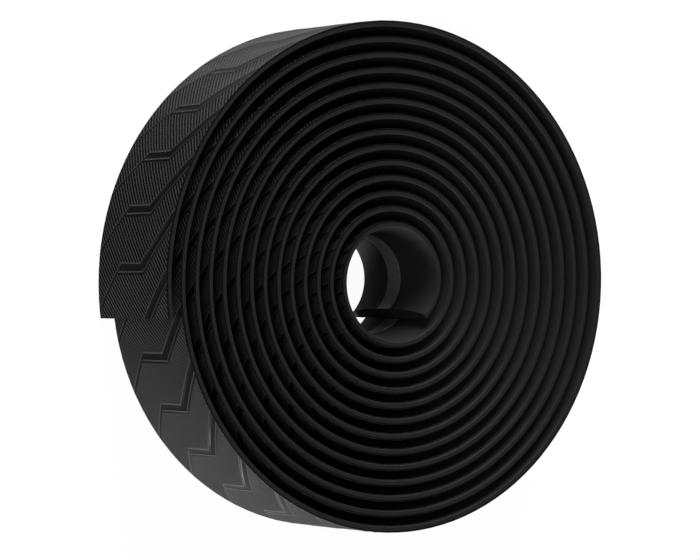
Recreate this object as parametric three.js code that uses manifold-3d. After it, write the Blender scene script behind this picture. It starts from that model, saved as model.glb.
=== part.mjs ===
// A roll of handlebar tape: one long strip of foam tape with an adhesive strip along its back,
// wound flat into a spiral and standing on its edge, so that the roll lies like a disc.
// The tape is drawn as it is made: a flat section, pressed with slanting bands on its grip side,
// then wound. Millimetres, +Z up along the roll's axis.

import * as THREE from 'three';
import { mergeVertices } from 'three/addons/utils/BufferGeometryUtils.js';
import Module from 'manifold-3d';

// Tape section
const tapeWidth = 30;
const tapeThickness = 2.95;
const edgeThickness = 1.32; // what the foam thins to at both edges
const edgeTaper = 7; // how far in from each edge the back slopes
const stripWidth = 5;
const stripThickness = 0.1;

// Winding
const coreRadius = 8.93; // axis to the back of the tape, at the inner end
const turnGap = 0.327; // air between the strip of one turn and the grip side of the next
const turns = 13.646;
const innerEndAngle = -44.6; // degrees, counter-clockwise seen from above
const facetSag = 0.15; // how far a facet may lie inside the true curve

// Pressed bands on the grip side, with the tape's upper edge on top.
// Lengths along the tape are those on the outermost turn.
const bandRepeat = 12.8; // from one band to the next
const bandStart = 9.8; // the first band's upright stretch, from the outer end
const bandDepth = 0.25;
const bandUprightTop = 10; // from the upper edge down to the upright stretch
const bandUprightBottom = 20.3; // from the upper edge down to its lower end
const bandUprightWidth = 1.8;
const bandSlantWidth = 3.2; // of the slanting stretch above it, along the tape
const bandSlope = 1.02; // along the tape for each millimetre across
const creaseWidth = 0.5; // of the thin crease that goes on to the lower edge

// The spiral of the grip side
const pitch = tapeThickness + stripThickness + turnGap;
const radiusPerRadian = pitch / (2 * Math.PI);
const innerRadius = coreRadius + stripThickness + tapeThickness;
const outerRadius = innerRadius + pitch * turns;
const outerEndAngle = THREE.MathUtils.degToRad(innerEndAngle + 360 * turns);

// A point of the wound tape: angle turned from the outer end, height over the lower edge,
// and depth below the grip side
function wound(angle, height, depth) {
  const radius = outerRadius - radiusPerRadian * angle - depth;
  const direction = outerEndAngle - angle;
  return new THREE.Vector3(radius * Math.cos(direction), radius * Math.sin(direction), height);
}

// Angles at which a section is drawn, closer together where the turns are tighter,
// so that every facet keeps within facetSag of the curve
function stationAngles() {
  const outer = outerRadius ** 1.5;
  const inner = innerRadius ** 1.5;
  const count = Math.ceil((2 * (outer - inner)) / (3 * radiusPerRadian * Math.sqrt(8 * facetSag)));
  return Array.from({ length: count + 1 }, (_, i) => {
    const radius = (outer + ((inner - outer) * i) / count) ** (2 / 3);
    return (outerRadius - radius) / radiusPerRadian;
  });
}

// A closed solid through a row of sections with the same number of points
function sweep(sections) {
  const count = sections[0].length;
  const positions = sections.flat().flatMap((point) => point.toArray());
  const indices = [];
  for (let i = 0; i + 1 < sections.length; i++) {
    for (let j = 0; j < count; j++) {
      const a = i * count + j;
      const b = i * count + ((j + 1) % count);
      indices.push(a, a + count, b, b, a + count, b + count);
    }
  }
  const last = (sections.length - 1) * count;
  for (let j = 1; j + 1 < count; j++) {
    indices.push(0, j, j + 1, last, last + j + 1, last + j);
  }
  const geometry = new THREE.BufferGeometry();
  geometry.setAttribute('position', new THREE.Float32BufferAttribute(positions, 3));
  geometry.setIndex(indices);
  return geometry;
}

// The tape: flat on the grip side, thick in the middle and thinning towards both edges on its back
function tapeGeometry() {
  const section = [
    [0, 0],
    [0, edgeThickness],
    [edgeTaper, tapeThickness],
    [tapeWidth - edgeTaper, tapeThickness],
    [tapeWidth, edgeThickness],
    [tapeWidth, 0],
  ];
  return sweep(stationAngles().map((angle) => section.map(([height, depth]) => wound(angle, height, depth))));
}

// The adhesive strip, bonded along the middle of the back
function stripGeometry() {
  const low = (tapeWidth - stripWidth) / 2;
  const high = low + stripWidth;
  const back = tapeThickness + stripThickness;
  const section = [
    [low, tapeThickness],
    [low, back],
    [high, back],
    [high, tapeThickness],
  ];
  return sweep(stationAngles().map((angle) => section.map(([height, depth]) => wound(angle, height, depth))));
}

// The left and right borders of a band as rungs from the upper edge to the lower one,
// each rung [left along, left down, right along, right down]
function bandRungs() {
  const spare = 1; // past both edges of the tape
  const widthStep = (bandSlantWidth - bandUprightWidth) / bandSlope;
  const bendRight = bandUprightTop + widthStep;
  const topReach = (bandUprightTop + spare) * bandSlope;
  const bottomDown = tapeWidth + spare;
  const bottomReach = (bottomDown - bandUprightBottom) * bandSlope;
  const creaseDown = bandUprightBottom + (bandUprightWidth - creaseWidth) / bandSlope;
  const corners = [
    [topReach, -spare, topReach + bandSlantWidth, -spare],
    [0, bandUprightTop, bandUprightWidth, bendRight],
    [0, creaseDown, bandUprightWidth, bandUprightBottom],
    [bandUprightWidth - creaseWidth - bottomReach, bottomDown, bandUprightWidth - bottomReach, bottomDown],
  ];
  const steps = [3, 1, 3]; // parts of each stretch, so that it bends with the tape
  const rungs = [corners[0]];
  steps.forEach((count, k) => {
    for (let i = 1; i <= count; i++) {
      rungs.push(corners[k].map((value, n) => value + ((corners[k + 1][n] - value) * i) / count));
    }
  });
  return rungs;
}

// What a band takes out of the tape, from above the grip side down to the band's floor
function bandGeometry(along) {
  const above = -turnGap / 2;
  return sweep(
    bandRungs().map(([left, leftDown, right, rightDown]) => {
      const leftAngle = (along + left) / outerRadius;
      const rightAngle = (along + right) / outerRadius;
      return [
        wound(leftAngle, tapeWidth - leftDown, above),
        wound(leftAngle, tapeWidth - leftDown, bandDepth),
        wound(rightAngle, tapeWidth - rightDown, bandDepth),
        wound(rightAngle, tapeWidth - rightDown, above),
      ];
    }),
  );
}

const wasm = await Module();
wasm.setup();

function toSolid(geometry) {
  const merged = mergeVertices(geometry, 1e-5);
  return new wasm.Manifold(
    new wasm.Mesh({
      numProp: 3,
      vertProperties: merged.attributes.position.array,
      triVerts: merged.index.array,
    }),
  );
}

function toGeometry(solid) {
  const mesh = solid.getMesh();
  const geometry = new THREE.BufferGeometry();
  geometry.setAttribute('position', new THREE.BufferAttribute(mesh.vertProperties, 3));
  geometry.setIndex(new THREE.BufferAttribute(mesh.triVerts, 1));
  return geometry;
}

// The bands are open to view on the outer turn, from the outer end once round
function pressedTape() {
  const onceRound = 2 * Math.PI * outerRadius;
  const reach = bandSlantWidth + bandUprightTop * bandSlope;
  let tape = toSolid(tapeGeometry());
  const first = Math.ceil((-reach - bandStart) / bandRepeat);
  for (let i = first; bandStart + i * bandRepeat + reach < onceRound; i++) {
    tape = tape.subtract(toSolid(bandGeometry(bandStart + i * bandRepeat)));
  }
  return toGeometry(tape);
}

const foam = new THREE.MeshStandardMaterial({ color: 0x2a2a2b, roughness: 0.8, metalness: 0 });
const adhesive = new THREE.MeshStandardMaterial({ color: 0x565658, roughness: 0.5, metalness: 0 });

const tape = new THREE.Mesh(pressedTape(), foam);
tape.name = 'handlebar_tape';
const strip = new THREE.Mesh(stripGeometry(), adhesive);
strip.name = 'adhesive_strip';

// The origin is under the middle of the roll's footprint, on the surface that it stands on
tape.geometry.computeBoundingBox();
const middle = tape.geometry.boundingBox.getCenter(new THREE.Vector3());
const group = new THREE.Group();
group.position.set(-middle.x, -middle.y, 0);
group.add(tape, strip);

export default group;
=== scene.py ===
import math

import bmesh
import bpy
import numpy as np
from mathutils import Matrix, Vector
from mathutils.geometry import delaunay_2d_cdt


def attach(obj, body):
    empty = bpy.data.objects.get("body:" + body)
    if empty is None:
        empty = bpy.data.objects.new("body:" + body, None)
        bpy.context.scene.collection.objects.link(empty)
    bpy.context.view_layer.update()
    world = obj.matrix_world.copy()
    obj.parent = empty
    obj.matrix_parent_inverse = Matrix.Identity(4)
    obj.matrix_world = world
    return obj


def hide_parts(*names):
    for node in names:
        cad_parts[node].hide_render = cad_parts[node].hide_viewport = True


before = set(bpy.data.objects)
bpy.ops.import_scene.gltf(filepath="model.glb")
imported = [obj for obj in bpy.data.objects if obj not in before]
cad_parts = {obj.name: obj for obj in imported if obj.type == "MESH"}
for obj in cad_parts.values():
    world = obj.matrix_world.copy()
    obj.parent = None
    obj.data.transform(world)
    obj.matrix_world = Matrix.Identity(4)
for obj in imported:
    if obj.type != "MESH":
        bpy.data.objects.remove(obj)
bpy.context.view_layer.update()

# The camera
# A long lens looks down on the roll from its left, so that the turns show from above and the
# grip side of the outer turn shows on the left.

camera_place = (-0.41970, -0.00072, 0.66669)
camera_tilt = math.radians(32.69)
camera_roll = math.radians(0.2)
camera_data = bpy.data.cameras.new("camera")
camera_data.lens = 178.71
camera_data.sensor_width = 36
camera = bpy.data.objects.new("camera", camera_data)
bpy.context.scene.collection.objects.link(camera)
camera.matrix_world = (
    Matrix.Translation(camera_place)
    @ Matrix.Rotation(-camera_tilt, 4, "Y")
    @ Matrix.Rotation(-camera_roll, 4, "Z")
)
bpy.context.scene.camera = camera


# The tape
# One long strip of foam under a thin black skin, wound outwards into an even spiral and stood
# on its edge. The skin is pressed with fine slanting ribs and with smooth bands between raised
# borders, and the foam thins towards both edges on its back.

MM = 0.001
SKIN, PAINTED_LIT_WALL, SMOOTH, SHADED_SKIN_EDGE, FOAM = range(5)

tape_width = 30
tape_depth = 2.95
edge_depth = 1.32  # what the foam thins to at both edges
back_crown = 10.0  # how far in from each edge the back curves
edge_corner = 0.08  # the rounding between a cut edge and the back
skin_depth = 0.45  # how far in the skin reaches on a cut edge; that band is painted near black, as painted shade
skin_corner = 0.14  # how far in the grip side's corner is rounded off
skin_round = 0.1  # and how far from the edge that rounding starts

core_radius = 8.93
strip_depth = 0.1
turn_gap = 0.327
turns = 13.646
inner_end_angle = math.radians(-44.6)
roll_axis = Vector((0.00088, -0.00087, 0))

pitch = tape_depth + strip_depth + turn_gap
radius_per_radian = pitch / (2 * math.pi)
inner_radius = core_radius + strip_depth + tape_depth
outer_radius = inner_radius + pitch * turns
outer_end_angle = inner_end_angle + 2 * math.pi * turns
one_turn = 2 * math.pi * outer_radius
drawn_length = one_turn * turns


# The tape is drawn flat and then wound. Lengths along it start at the outer end and are those of
# the outermost turn. The others go down from the upper edge and inward from the grip side.
def wind(points):
    """Flat (along, down, inward) in millimetres to the wound place in metres."""
    along, down, inward = np.asarray(points, float).T
    turned = along / outer_radius
    radius = outer_radius - radius_per_radian * turned - inward
    direction = outer_end_angle - turned
    wound = np.stack([radius * np.cos(direction), radius * np.sin(direction), tape_width - down], 1)
    return wound * MM + np.array(roll_axis)


# Pressed bands. A band has a left and a right border, each given by its far edge, the one further
# along the tape: an upright stretch with slants above and below it.

band_repeat = 12.752
band_start = 10.3  # from the outer end to the upright stretch of the first whole band
band_slope = 1.02  # along the tape for each millimetre down
band_floor = 0.11  # how far in a band's floor lies
land_inward = 0.08  # how far in the ribbed skin lies, below the tops of the borders
band_end = 0.6  # the stretch at each edge over which the relief fades out
upright_top = 10  # how far down the upright stretch starts
crease_top = 20.3  # and how far down it turns into the crease
border_upright = 0.9  # a border's width on the upright stretch
border_slanting = 1.28  # and on the slants
border_wall = 0.42  # the share of it that each of its walls takes
border_slack = 0.01  # so that a point right on a border's edge counts as on it
left_upright = 0.05
left_slant = 0.3 + upright_top * band_slope  # where the slant would meet the upper edge
left_foot = 20.9  # how far down the left border ends
right_upright = 1.9
right_slant = 3.45 + upright_top * band_slope
crease_slant = 1.8 + crease_top * band_slope
band_shifts = [k * band_repeat for k in range(-1, 3)]  # of all bands that reach into one repeat


def left_edge(down, share):
    """The left border's place along the tape, from its far edge (share 0) to its near edge (share 1)."""
    upright = left_upright - share * border_upright
    slanting = left_slant - share * border_slanting - down * band_slope
    return max(upright, slanting)


def right_edge(down, share):
    """The same of the right border, which goes on below the band as a crease."""
    upright = right_upright - share * border_upright
    slanting = right_slant - share * border_slanting - down * band_slope
    crease = crease_slant - share * border_slanting - down * band_slope
    return min(max(upright, slanting), crease)


def bends(edge, share, top, bottom):
    """The points of a border's line between two heights: its ends and its bends."""
    if edge is left_edge:
        upright = left_upright - share * border_upright
        stops = [(left_slant - share * border_slanting - upright) / band_slope]
    else:
        upright = right_upright - share * border_upright
        stops = [
            (right_slant - share * border_slanting - upright) / band_slope,
            (crease_slant - share * border_slanting - upright) / band_slope,
        ]
    downs = [top] + [d for d in stops if top < d < bottom] + [bottom]
    return [(edge(d, share), d) for d in downs]


def border_shares(along, down):
    """Where a point lies across the left and the right border, as shares from their far edges."""
    left, right = (
        (edge(down, 0) - along) / (edge(down, 0) - edge(down, 1))
        for edge in (left_edge, right_edge)
    )
    return left, right


def finish_of(along, down):
    """The finish at a point of the flat tape: ribbed skin, a border's far wall (painted lighter, a painted
    highlight), or a band's smooth rest.
    """
    for shift in band_shifts:
        left, right = border_shares(along - shift, down)
        if 0 < right < border_wall or (down < left_foot and 0 < left < border_wall):
            return PAINTED_LIT_WALL
        if right > 0 and (left < 1 if down < left_foot else right < 1):
            return SMOOTH
    return SKIN


def still_to_rise(share):
    """How much of a border's wall is left to climb, at a share of its width from the wall's foot."""
    return 1 - min(1, max(0, share) / border_wall)


def skin_inward(along, down):
    """How far in the pressed skin lies at a point of the flat tape."""
    on_border, on_floor = None, False
    for shift in band_shifts:
        left, right = border_shares(along - shift, down)
        if -border_slack < right < 1 + border_slack:
            foot = band_floor if down < left_foot and left < 0.5 else land_inward
            on_border = max(land_inward * still_to_rise(right), foot * still_to_rise(1 - right))
        if down < left_foot and -border_slack < left < 1 + border_slack:
            on_left = max(land_inward * still_to_rise(1 - left), band_floor * still_to_rise(left))
            on_border = on_left if on_border is None else min(on_border, on_left)
        if down < left_foot and left < 0 and right > 1:
            on_floor = True
    inward = band_floor if on_floor else land_inward
    if on_border is not None:
        inward = on_border
    fade = min(1, (down - skin_round) / band_end, (tape_width - skin_round - down) / band_end)
    return land_inward + (inward - land_inward) * fade


def clipped(a, b, top, bottom):
    """The stretch of a flat line that lies on one repeat between two heights, or nothing."""
    (x0, y0), (x1, y1) = a, b
    begin, end = 0.0, 1.0
    for start, step, low, high in ((x0, x1 - x0, 0, band_repeat), (y0, y1 - y0, top, bottom)):
        if abs(step) < 1e-9:
            if not low <= start <= high:
                return None
            continue
        first, last = sorted(((low - start) / step, (high - start) / step))
        begin, end = max(begin, first), min(end, last)
    if end - begin < 1e-6:
        return None
    return [(x0 + (x1 - x0) * t, y0 + (y1 - y0) * t) for t in (begin, end)]


def pattern_lines(top, bottom):
    """All creases of the pressed pattern on one repeat between two heights."""
    lines = []
    for shift in band_shifts:
        for edge, foot in ((left_edge, left_foot), (right_edge, tape_width)):
            for share in (0, border_wall, 1 - border_wall, 1):
                path = bends(edge, share, top, min(bottom, foot)) if foot > top else []
                lines += [[(x + shift, y) for x, y in pair] for pair in zip(path, path[1:])]
    return [line for line in (clipped(a, b, top, bottom) for a, b in lines) if line]


# The covered turns are pressed too, but their pattern is drawn only as far in from the edges as
# it can be seen. Further in they are plain, and in the middle the turns all but touch.

stations = 4  # straight pieces along one repeat
hidden_from = 4.5  # from an edge, as touching_from is
hidden_inward = 0.1
touching_from = 7
touching_inward = 0.01 - turn_gap


def skin_tile(covered):
    """One repeat of the skin as points and triangles. Where other turns hide it, it has no pattern."""
    steps = [band_repeat * i / stations for i in range(stations + 1)]
    inner_top, inner_bottom = skin_round, tape_width - skin_round
    if covered:
        rows = [
            0, inner_top, inner_top + band_end, hidden_from, *range(6, tape_width, 6),
            tape_width - hidden_from, inner_bottom - band_end, inner_bottom, tape_width,
        ]
        zones = [(inner_top, hidden_from), (tape_width - hidden_from, inner_bottom)]
    else:
        rows = [0, inner_top, inner_top + band_end, inner_bottom - band_end, inner_bottom, tape_width]
        zones = [(inner_top, inner_bottom)]
    points, edges = [], []

    def line(a, b):
        points.extend((Vector(a), Vector(b)))
        edges.append((len(points) - 2, len(points) - 1))

    for down in rows:
        for a, b in zip(steps, steps[1:]):
            line((a, down), (b, down))
    for along in (0, band_repeat):
        for a, b in zip(rows, rows[1:]):
            line((along, a), (along, b))
    for top, bottom in zones:
        for along in steps[1:-1]:
            line((along, top), (along, bottom))
        for a, b in pattern_lines(top, bottom):
            line(a, b)
    verts, _, faces, _, _, _ = delaunay_2d_cdt(points, edges, [], 0, 1e-4)
    placed = []
    for along, down in verts:
        from_edge = min(down, tape_width - down)
        if from_edge < 1e-3:
            inward = skin_corner
        elif covered and from_edge > hidden_from + 1e-3:
            inward = hidden_inward if from_edge < touching_from else touching_inward
        else:
            inward = skin_inward(along, down)
        placed.append((along, down, inward))
    kept = []
    for face in faces:
        (ax, ay), (bx, by), (cx, cy) = (verts[i] for i in face)
        if abs((bx - ax) * (cy - ay) - (cx - ax) * (by - ay)) > 1e-7:
            middle_along, middle_down = (ax + bx + cx) / 3, (ay + by + cy) / 3
            # The grip side's rounded corner is painted near black along with the skin's cut edge: painted
            # shade.
            if not inner_top < middle_down < inner_bottom:
                material = SHADED_SKIN_EDGE
            else:
                material = finish_of(middle_along, middle_down)
            kept.append((tuple(face), material))
    return placed, kept


def back_profile():
    """The cut edges and the crowned back, from the lower edge round to the upper one."""
    crown = []
    for down in (0, 1.8, 4, 6.8, back_crown):
        crown.append((down, tape_depth - (tape_depth - edge_depth) * (1 - down / back_crown) ** 2))
    crown[0] = (edge_corner, edge_depth)
    upper = [(0, skin_corner), (0, skin_depth), (0, edge_depth - edge_corner)] + crown
    lower = [(tape_width - down, inward) for down, inward in upper]
    return lower + upper[::-1]


def tile(covered):
    """One repeat of the whole tape section, as an array of points and a list of (face, material)."""
    points, faces = skin_tile(covered)
    profile = back_profile()
    start = len(points)
    for i in range(stations + 1):
        points += [(band_repeat * i / stations, down, inward) for down, inward in profile]
    count = len(profile)
    for i in range(stations):
        for j in range(count - 1):
            a = start + i * count + j
            # The skin's band on each cut edge is painted near black: painted shade.
            material = SHADED_SKIN_EDGE if j in (0, count - 2) else FOAM
            faces.append(((a, a + 1, a + count + 1, a + count), material))
    return np.array(points), faces


# The tiles are laid end to end, cut at both ends of the tape, closed there, and wound.

whole_tiles = math.ceil((drawn_length - band_start) / band_repeat)
open_tiles = math.ceil((one_turn - band_start) / band_repeat) + 1
runs = ((-1, open_tiles, tile(covered=False)), (open_tiles, whole_tiles, tile(covered=True)))
tape_points, tape_faces = [], []
made = 0
for first, last, (points, faces) in runs:
    for i in range(first, last):
        tape_points.append(points + [band_start + i * band_repeat, 0, 0])
        tape_faces += [([v + made for v in face], material) for face, material in faces]
        made += len(points)

tape_mesh = bpy.data.meshes.new("pressed_tape")
tape_mesh.from_pydata(np.concatenate(tape_points), [], [face for face, _ in tape_faces])
tape_mesh.polygons.foreach_set("material_index", [material for _, material in tape_faces])
flat_tape = bmesh.new()
flat_tape.from_mesh(tape_mesh)
bmesh.ops.remove_doubles(flat_tape, verts=flat_tape.verts, dist=0.003)
for end, outwards in ((0, -1), (drawn_length, 1)):
    near = [f for f in flat_tape.faces if abs(f.verts[0].co.x - end) < 2 * band_repeat]
    near_edges = dict.fromkeys(e for f in near for e in f.edges)
    near_verts = dict.fromkeys(v for f in near for v in f.verts)
    result = bmesh.ops.bisect_plane(
        flat_tape, geom=[*near_edges, *near_verts, *near], dist=1e-4,
        plane_co=(end, 0, 0), plane_no=(outwards, 0, 0), clear_outer=True,
    )
    rim = [g for g in result["geom_cut"] if isinstance(g, bmesh.types.BMEdge)]
    cap = bmesh.ops.holes_fill(flat_tape, edges=rim, sides=0)["faces"]
    for face in cap:
        face.material_index = FOAM
    bmesh.ops.triangulate(flat_tape, faces=cap)
stray = [v for v in flat_tape.verts if not -1e-3 < v.co.x < drawn_length + 1e-3]
bmesh.ops.delete(flat_tape, geom=stray, context="VERTS")
bmesh.ops.recalc_face_normals(flat_tape, faces=flat_tape.faces)
flat_tape.to_mesh(tape_mesh)
flat_tape.free()

flat = np.zeros(len(tape_mesh.vertices) * 3, np.float32)
tape_mesh.vertices.foreach_get("co", flat)
tape_mesh.attributes.new("flat", "FLOAT_VECTOR", "POINT").data.foreach_set("vector", flat)
tape_mesh.vertices.foreach_set("co", wind(flat.reshape(-1, 3)).astype(np.float32).ravel())
tape_mesh.update()
tape_mesh.shade_smooth()
tape_mesh.set_sharp_from_angle(angle=math.radians(16))
tape = bpy.data.objects.new("grip_tape", tape_mesh)
bpy.context.scene.collection.objects.link(tape)


def matte(name, colour, roughness, specular, grain=0.25, grain_height=0.004):
    """A matte surface with a fine grain in its colour and its relief, sized in millimetres."""
    material = bpy.data.materials.new(name)
    material.use_nodes = True
    nodes, links = material.node_tree.nodes, material.node_tree.links
    shader = nodes["Principled BSDF"]
    shader.inputs["Roughness"].default_value = roughness
    shader.inputs["Specular IOR Level"].default_value = specular
    place = nodes.new("ShaderNodeTexCoord")
    noise = nodes.new("ShaderNodeTexNoise")
    noise.inputs["Scale"].default_value = 1 / (grain * MM)
    noise.inputs["Detail"].default_value = 3
    links.new(place.outputs["Object"], noise.inputs["Vector"])
    tones = nodes.new("ShaderNodeValToRGB")
    dark, light = tones.color_ramp.elements
    dark.position = 0.3
    dark.color = (*[c * 0.8 for c in colour], 1)
    light.position = 0.7
    light.color = (*[c * 1.2 for c in colour], 1)
    links.new(noise.outputs["Fac"], tones.inputs["Fac"])
    links.new(tones.outputs["Color"], shader.inputs["Base Color"])
    bump = nodes.new("ShaderNodeBump")
    bump.inputs["Strength"].default_value = 1
    bump.inputs["Distance"].default_value = grain_height * MM
    links.new(noise.outputs["Fac"], bump.inputs["Height"])
    links.new(bump.outputs["Normal"], shader.inputs["Normal"])
    return material


# Fine ribs between the bands, ten to a repeat. The colour of their ridges is painted pale as a painted
# highlight, and the colour of their valleys is painted dark as painted shade.

ribs_per_repeat = 10
rib_rate_down = 0.806  # ribs crossed for each millimetre down
rib_shift = 0.96  # how far the ribs are moved along, as a share of their spacing
rib_depth = 0.04
ridge_to = 0.15  # how far a ridge's painted highlight reaches from its middle, as a share of the ribs' spacing
# where a valley's painted shade starts, as the same share
valley_from = 0.32
# how much the skin's colour is scaled: lightened on a ridge as a painted highlight, darkened in a valley as
# painted shade
ridge_painted_highlight = 2.0
valley_painted_shade = 0.05

pressed_skin_with_painted_light = matte("pressed_skin_with_painted_light", (0.0185, 0.0185, 0.0187), roughness=0.3, specular=0.125)
nodes, links = pressed_skin_with_painted_light.node_tree.nodes, pressed_skin_with_painted_light.node_tree.links
flat_place = nodes.new("ShaderNodeAttribute")
flat_place.attribute_name = "flat"
across_ribs = nodes.new("ShaderNodeVectorMath")
across_ribs.operation = "DOT_PRODUCT"
across_ribs.inputs[1].default_value = (ribs_per_repeat / band_repeat, -rib_rate_down, 0)
links.new(flat_place.outputs["Vector"], across_ribs.inputs[0])
shifted = nodes.new("ShaderNodeMath")
shifted.operation = "SUBTRACT"
shifted.inputs[1].default_value = (band_start * ribs_per_repeat / band_repeat - rib_shift) % 1
links.new(across_ribs.outputs["Value"], shifted.inputs[0])
from_ridge = nodes.new("ShaderNodeMath")
from_ridge.operation = "PINGPONG"
from_ridge.inputs[1].default_value = 0.5
links.new(shifted.outputs["Value"], from_ridge.inputs[0])
ribs = nodes.new("ShaderNodeBump")
ribs.invert = True
ribs.inputs["Distance"].default_value = 2 * rib_depth * MM
links.new(from_ridge.outputs["Value"], ribs.inputs["Height"])
links.new(nodes["Bump"].outputs["Normal"], ribs.inputs["Normal"])
links.new(ribs.outputs["Normal"], nodes["Principled BSDF"].inputs["Normal"])
# The skin's colour is painted lighter on the ridges and darker in the valleys: painted highlight and
# painted shade.
rib_painted_light_and_shade = nodes.new("ShaderNodeMapRange")
rib_painted_light_and_shade.inputs["From Min"].default_value = ridge_to
rib_painted_light_and_shade.inputs["From Max"].default_value = valley_from
rib_painted_light_and_shade.inputs["To Min"].default_value = ridge_painted_highlight
rib_painted_light_and_shade.inputs["To Max"].default_value = valley_painted_shade
links.new(from_ridge.outputs["Value"], rib_painted_light_and_shade.inputs["Value"])
ribs_painted_colour = nodes.new("ShaderNodeVectorMath")
ribs_painted_colour.operation = "SCALE"
links.new(nodes["Color Ramp"].outputs["Color"], ribs_painted_colour.inputs[0])
links.new(rib_painted_light_and_shade.outputs["Result"], ribs_painted_colour.inputs["Scale"])
links.new(ribs_painted_colour.outputs["Vector"], nodes["Principled BSDF"].inputs["Base Color"])

# A border's far wall is painted lighter than the rest of the skin: a painted highlight where that wall
# catches the light.
border_wall_painted_highlight = matte("border_wall_painted_highlight", (0.04, 0.04, 0.0404), roughness=0.4, specular=0.125)
smooth_skin = matte("smooth_skin", (0.0025, 0.0025, 0.0025), roughness=0.35, specular=0.3)
# The skin's cut edge and its rounded corner are painted near black, far darker than the skin's face:
# painted shade along a thin line.
skin_edge_painted_shade = matte(
    "skin_edge_painted_shade", (0.002, 0.002, 0.002), roughness=0.6, specular=0.1, grain=0.3, grain_height=0.006,
)
foam = matte(
    "foam", (0.0185, 0.0185, 0.0186), roughness=0.6, specular=0.125, grain=0.35, grain_height=0.015,
)
for finish in (pressed_skin_with_painted_light, border_wall_painted_highlight, smooth_skin, skin_edge_painted_shade, foam):
    tape_mesh.materials.append(finish)
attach(tape, "root")
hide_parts("handlebar_tape")


# The adhesive strip
# A satin film bonded along the middle of the tape's back while the tape lies flat, and wound up
# with it. It runs from one end of the tape to the other.

strip_width = 5
strip_round = 0.03
strip_bond = 0.01
strip_low = (tape_width - strip_width) / 2
strip_high = strip_low + strip_width
strip_foot = tape_depth - strip_bond
strip_back = tape_depth + strip_depth
strip_profile = [
    (strip_low, strip_foot),
    (strip_low, strip_back - strip_round),
    (strip_low + strip_round, strip_back),
    (strip_high - strip_round, strip_back),
    (strip_high, strip_back - strip_round),
    (strip_high, strip_foot),
]
strip_steps = stations * whole_tiles
strip_points = [
    (drawn_length * i / strip_steps, down, inward)
    for i in range(strip_steps + 1)
    for down, inward in strip_profile
]
count = len(strip_profile)
strip_faces = [
    (i * count + j, i * count + (j + 1) % count, (i + 1) * count + (j + 1) % count, (i + 1) * count + j)
    for i in range(strip_steps)
    for j in range(count)
]
strip_faces.append(tuple(range(count)))
strip_faces.append(tuple(strip_steps * count + j for j in reversed(range(count))))
strip_mesh = bpy.data.meshes.new("adhesive_strip_back")
strip_mesh.from_pydata(wind(strip_points), [], strip_faces)
turned_out = bmesh.new()
turned_out.from_mesh(strip_mesh)
bmesh.ops.recalc_face_normals(turned_out, faces=turned_out.faces)
turned_out.to_mesh(strip_mesh)
turned_out.free()
strip_mesh.shade_smooth()
strip_mesh.set_sharp_from_angle(angle=math.radians(30))
strip = bpy.data.objects.new("strip_on_back", strip_mesh)
bpy.context.scene.collection.objects.link(strip)
strip_film = matte("strip_film", (0.095, 0.095, 0.097), roughness=0.4, specular=0.4, grain=0.6)
strip_mesh.materials.append(strip_film)
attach(strip, "root")
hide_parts("adhesive_strip")


# The floor and the light
# A white floor under the roll, and soft lamps round it. The skin is dark and shows mostly what
# it reflects, so some lamps are low or under the floor, which only the camera sees.

floor_half = 3.0
floor_glow = 0.95
floor_shade = 0.08
floor_mesh = bpy.data.meshes.new("floor")
floor_mesh.from_pydata(
    [(x * floor_half, y * floor_half, 0) for x, y in ((-1, -1), (1, -1), (1, 1), (-1, 1))],
    [], [(0, 1, 2, 3)],
)
floor = bpy.data.objects.new("floor", floor_mesh)
bpy.context.scene.collection.objects.link(floor)
floor.visible_diffuse = False
floor.visible_glossy = False
floor.visible_shadow = False
floor_material = bpy.data.materials.new("white_floor")
floor_material.use_nodes = True
nodes, links = floor_material.node_tree.nodes, floor_material.node_tree.links
nodes.remove(nodes["Principled BSDF"])
glow = nodes.new("ShaderNodeEmission")
glow.inputs["Strength"].default_value = floor_glow
shade = nodes.new("ShaderNodeBsdfDiffuse")
shade.inputs["Color"].default_value = (floor_shade, floor_shade, floor_shade, 1)
both = nodes.new("ShaderNodeAddShader")
links.new(glow.outputs["Emission"], both.inputs[0])
links.new(shade.outputs["BSDF"], both.inputs[1])
links.new(both.outputs["Shader"], nodes["Material Output"].inputs["Surface"])
floor_mesh.materials.append(floor_material)

surround_level = 0.03
world = bpy.data.worlds.new("surround")
bpy.context.scene.world = world
world.use_nodes = True
nodes, links = world.node_tree.nodes, world.node_tree.links
background = nodes["Background"]
background.inputs["Color"].default_value = (1, 1, 1, 1)
rays = nodes.new("ShaderNodeLightPath")
level = nodes.new("ShaderNodeMapRange")
level.inputs["To Min"].default_value = surround_level
level.inputs["To Max"].default_value = 1
links.new(rays.outputs["Is Camera Ray"], level.inputs["Value"])
links.new(level.outputs["Result"], background.inputs["Strength"])

lamp_distance = 1.3


def lamp(name, direction, power, size=1):
    """A round soft lamp that faces the roll from a direction."""
    data = bpy.data.lights.new(name, "AREA")
    data.shape = "DISK"
    data.size = size
    data.energy = power
    lamp_object = bpy.data.objects.new(name, data)
    lamp_object.location = Vector(direction).normalized() * lamp_distance
    lamp_object.rotation_mode = "QUATERNION"
    lamp_object.rotation_quaternion = (-lamp_object.location).to_track_quat("-Z", "Y")
    bpy.context.scene.collection.objects.link(lamp_object)


lamp("back_lamp", (0, 0.95, 0.3), 26)
lamp("top_left_lamp", (-0.62, -0.2, 0.76), 6)
lamp("front_lamp", (0, -1, -0.15), 80, size=1.2)
lamp("left_lamp", (-0.98, 0, -0.15), 6)
lamp("back_left_lamp", (-0.7, 0.7, -0.15), 3.3)
lamp("under_right_lamp", (0.5, 0.4, -0.75), 0.8)
lamp("under_back_lamp", (0, 0.8, -0.6), 0.9)

bpy.context.scene.view_settings.view_transform = "Standard"
